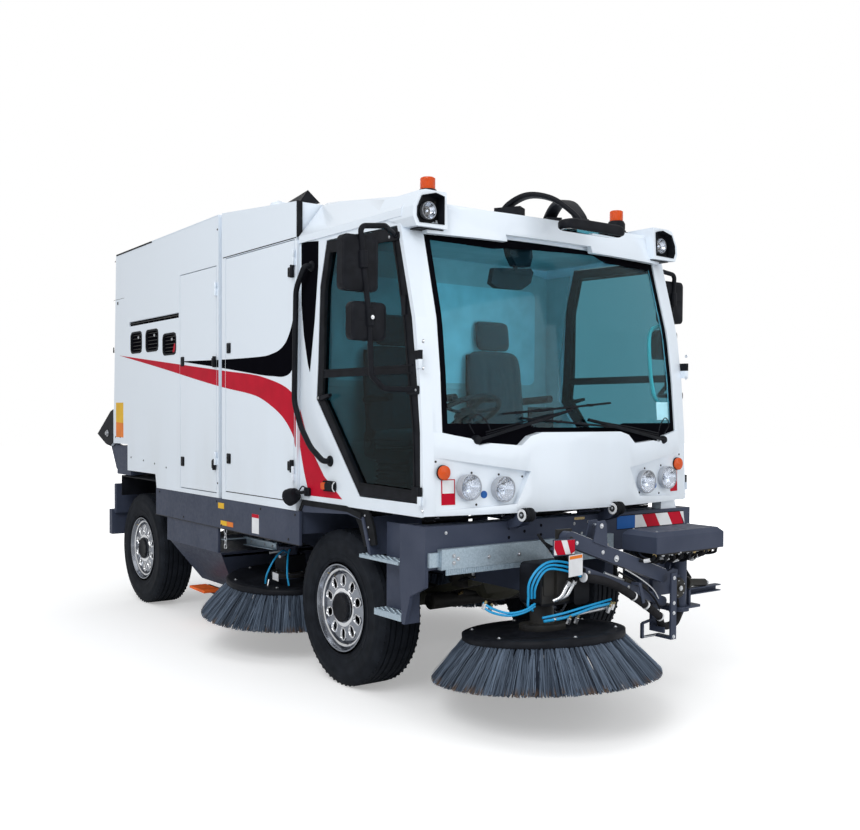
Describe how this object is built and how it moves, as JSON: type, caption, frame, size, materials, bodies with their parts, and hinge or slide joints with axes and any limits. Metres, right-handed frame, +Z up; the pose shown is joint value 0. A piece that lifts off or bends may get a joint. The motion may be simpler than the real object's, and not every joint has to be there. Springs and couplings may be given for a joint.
{
  "type": "street sweeper truck",
  "caption": "Cab-forward street sweeper truck with disc brushes on lifting arms, a tipping hopper, opening doors, steered front wheels and a front brush on a slewing arm.",
  "frame": {"origin": "middle of the machine's footprint box, on the ground", "axes": "+X to the vehicle's left, +Y to its rear, +Z up; the cab faces -Y"},
  "size_m": [2.776, 5.5478, 2.8979],
  "materials": {
    "white_paint": "gloss paint",
    "grey_paint": "satin paint",
    "black_plastic": "moulded",
    "galvanised_steel": "galvanised",
    "tinted_glass": "tinted",
    "lamp_lens": "clear and amber lenses",
    "seat_cloth": "woven",
    "bristle": "stiff bristles",
    "polished_alloy": "polished",
    "tyre_rubber": "rubber"
  },
  "bodies": {
    "chassis": {"chassis_frame": "grey_paint", "frame_legs": "grey_paint", "cross_bars": "grey_paint", "rear_posts": "grey_paint", "arm_brackets": "grey_paint", "front_axle": "grey_paint", "rear_axle": "grey_paint", "front_beam": "grey_paint", "underrun_bar": "galvanised_steel", "cab_steps": "galvanised_steel", "side_skirts": "grey_paint", "sweep_housing": "grey_paint", "mudguards": "black_plastic", "rear_bumper": "grey_paint", "cab_shell": "white_paint", "front_fascia": "white_paint", "windshield": "tinted_glass", "cab_roof": "white_paint", "dashboard": "black_plastic", "seats": "seat_cloth", "engine_block": "grey_paint", "engine_housing": "white_paint", "valve_cover": "grey_paint", "lamps": "lamp_lens", "screen_mirror": "black_plastic"},
    "knuckle_right": {"knuckle_right": "grey_paint"},
    "knuckle_left": {"knuckle_left": "grey_paint"},
    "wheel_front_right": {"rim_front_right": "polished_alloy", "tyre_front_right": "tyre_rubber"},
    "wheel_rear_right": {"rim_rear_right": "polished_alloy", "tyre_rear_right": "tyre_rubber"},
    "wheel_front_left": {"rim_front_left": "polished_alloy", "tyre_front_left": "tyre_rubber"},
    "wheel_rear_left": {"rim_rear_left": "polished_alloy", "tyre_rear_left": "tyre_rubber"},
    "cab_door_right": {"cab_door_right": "black_plastic", "door_glass_right": "tinted_glass"},
    "service_door_right": {"service_door_right": "white_paint"},
    "cab_door_left": {"cab_door_left": "black_plastic", "door_glass_left": "tinted_glass"},
    "service_door_left": {"service_door_left": "white_paint"},
    "hopper": {"hopper_body": "white_paint"},
    "tailgate": {"tailgate": "white_paint"},
    "hopper_door_right": {"hopper_door_right": "white_paint"},
    "hopper_door_left": {"hopper_door_left": "white_paint"},
    "main_brush": {"main_brush": "bristle"},
    "front_turret": {"front_turret": "grey_paint"},
    "front_arm": {"front_arm": "grey_paint"},
    "front_link": {"front_link": "grey_paint"},
    "front_hub": {"front_hub": "grey_paint"},
    "front_brush": {"front_brush": "bristle"},
    "side_arm_right": {"side_arm_right": "grey_paint"},
    "side_link_right": {"side_link_right": "grey_paint"},
    "side_hub_right": {"side_hub_right": "grey_paint"},
    "side_brush_right": {"side_brush_right": "bristle"},
    "side_arm_left": {"side_arm_left": "grey_paint"},
    "side_link_left": {"side_link_left": "grey_paint"},
    "side_hub_left": {"side_hub_left": "grey_paint"},
    "side_brush_left": {"side_brush_left": "bristle"}
  },
  "joints": [
    {"name": "steer_right", "type": "hinge", "parent": "chassis", "child": "knuckle_right", "pos_m": [-0.74, -1.0841, 0.4475], "axis": [0, 0, 1], "range_deg": [-32, 32]},
    {"name": "steer_left", "type": "hinge", "parent": "chassis", "child": "knuckle_left", "pos_m": [0.74, -1.0841, 0.4475], "axis": [0, 0, 1], "range_deg": [-32, 32]},
    {"name": "wheel_front_right_spin", "type": "hinge", "parent": "knuckle_right", "child": "wheel_front_right", "pos_m": [-0.8, -1.0841, 0.4475], "axis": [1, 0, 0], "continuous": true},
    {"name": "wheel_rear_right_spin", "type": "hinge", "parent": "chassis", "child": "wheel_rear_right", "pos_m": [-0.8, 1.9609, 0.4475], "axis": [1, 0, 0], "continuous": true},
    {"name": "wheel_front_left_spin", "type": "hinge", "parent": "knuckle_left", "child": "wheel_front_left", "pos_m": [0.8, -1.0841, 0.4475], "axis": [1, 0, 0], "continuous": true},
    {"name": "wheel_rear_left_spin", "type": "hinge", "parent": "chassis", "child": "wheel_rear_left", "pos_m": [0.8, 1.9609, 0.4475], "axis": [1, 0, 0], "continuous": true},
    {"name": "cab_door_right_hinge", "type": "hinge", "parent": "chassis", "child": "cab_door_right", "pos_m": [-1.014, -1.9561, 1.8], "axis": [0, 0, 1], "range_deg": [0, 65]},
    {"name": "service_door_right_hinge", "type": "hinge", "parent": "chassis", "child": "service_door_right", "pos_m": [-1.032, -0.7181, 1.8], "axis": [0, 0, 1], "range_deg": [0, 95]},
    {"name": "cab_door_left_hinge", "type": "hinge", "parent": "chassis", "child": "cab_door_left", "pos_m": [1.014, -1.9561, 1.8], "axis": [0, 0, -1], "range_deg": [0, 65]},
    {"name": "service_door_left_hinge", "type": "hinge", "parent": "chassis", "child": "service_door_left", "pos_m": [1.032, -0.7181, 1.8], "axis": [0, 0, -1], "range_deg": [0, 95]},
    {"name": "hopper_tip", "type": "hinge", "parent": "chassis", "child": "hopper", "pos_m": [0, 2.5159, 1.38], "axis": [-1, 0, 0], "range_deg": [0, 50]},
    {"name": "tailgate_hinge", "type": "hinge", "parent": "hopper", "child": "tailgate", "pos_m": [0, 2.3359, 2.848], "axis": [1, 0, 0], "range_deg": [0, 80]},
    {"name": "hopper_door_right_hinge", "type": "hinge", "parent": "hopper", "child": "hopper_door_right", "pos_m": [-1.032, 0.3519, 1.8], "axis": [0, 0, 1], "range_deg": [0, 95]},
    {"name": "hopper_door_left_hinge", "type": "hinge", "parent": "hopper", "child": "hopper_door_left", "pos_m": [1.032, 0.3519, 1.8], "axis": [0, 0, -1], "range_deg": [0, 95]},
    {"name": "main_brush_spin", "type": "hinge", "parent": "chassis", "child": "main_brush", "pos_m": [0, 0.8959, 0.37], "axis": [1, 0, 0], "continuous": true},
    {"name": "front_turret_slew", "type": "hinge", "parent": "chassis", "child": "front_turret", "pos_m": [0.62, -2.2341, 0.63], "axis": [0, 0, 1], "range_deg": [0, 90]},
    {"name": "front_arm_lift", "type": "hinge", "parent": "front_turret", "child": "front_arm", "pos_m": [0.386, -2.2991, 0.68], "axis": [0, -1, 0], "range_deg": [0, 12.3]},
    {"name": "front_link_lift", "type": "hinge", "parent": "front_turret", "child": "front_link", "pos_m": [0.386, -2.2991, 0.54], "axis": [0, -1, 0], "range_deg": [0, 12.3]},
    {"name": "front_hub_level", "type": "hinge", "parent": "front_arm", "child": "front_hub", "pos_m": [-0.33, -2.2991, 0.93], "axis": [0, -1, 0], "range_deg": [-12.3, 0]},
    {"name": "front_brush_spin", "type": "hinge", "parent": "front_hub", "child": "front_brush", "pos_m": [-0.37, -2.1641, 0.452], "axis": [0, 0.0958, 0.9954], "continuous": true},
    {"name": "side_arm_lift_right", "type": "hinge", "parent": "chassis", "child": "side_arm_right", "pos_m": [-0.686, 0.4009, 0.735], "axis": [1, 0, 0], "range_deg": [0, 32]},
    {"name": "side_link_lift_right", "type": "hinge", "parent": "chassis", "child": "side_link_right", "pos_m": [-0.686, 0.4009, 0.655], "axis": [1, 0, 0], "range_deg": [0, 32]},
    {"name": "side_hub_level_right", "type": "hinge", "parent": "side_arm_right", "child": "side_hub_right", "pos_m": [-0.686, 0.0559, 0.795], "axis": [1, 0, 0], "range_deg": [-32, 0]},
    {"name": "side_brush_spin_right", "type": "hinge", "parent": "side_hub_right", "child": "side_brush_right", "pos_m": [-0.66, -0.0141, 0.466], "axis": [-0.0349, -0.0523, 0.998], "continuous": true},
    {"name": "side_arm_lift_left", "type": "hinge", "parent": "chassis", "child": "side_arm_left", "pos_m": [0.686, 0.4009, 0.735], "axis": [1, 0, 0], "range_deg": [0, 32]},
    {"name": "side_link_lift_left", "type": "hinge", "parent": "chassis", "child": "side_link_left", "pos_m": [0.686, 0.4009, 0.655], "axis": [1, 0, 0], "range_deg": [0, 32]},
    {"name": "side_hub_level_left", "type": "hinge", "parent": "side_arm_left", "child": "side_hub_left", "pos_m": [0.686, 0.0559, 0.795], "axis": [1, 0, 0], "range_deg": [-32, 0]},
    {"name": "side_brush_spin_left", "type": "hinge", "parent": "side_hub_left", "child": "side_brush_left", "pos_m": [0.66, -0.0141, 0.466], "axis": [0.0349, -0.0523, 0.998], "continuous": true}
  ],
  "couplings": [
    {"joint": "steer_left", "follows": "steer_right", "ratio": 1},
    {"joint": "front_link_lift", "follows": "front_arm_lift", "ratio": 1},
    {"joint": "front_hub_level", "follows": "front_arm_lift", "ratio": -1},
    {"joint": "side_link_lift_right", "follows": "side_arm_lift_right", "ratio": 1},
    {"joint": "side_hub_level_right", "follows": "side_arm_lift_right", "ratio": -1},
    {"joint": "side_link_lift_left", "follows": "side_arm_lift_left", "ratio": 1},
    {"joint": "side_hub_level_left", "follows": "side_arm_lift_left", "ratio": -1}
  ]
}
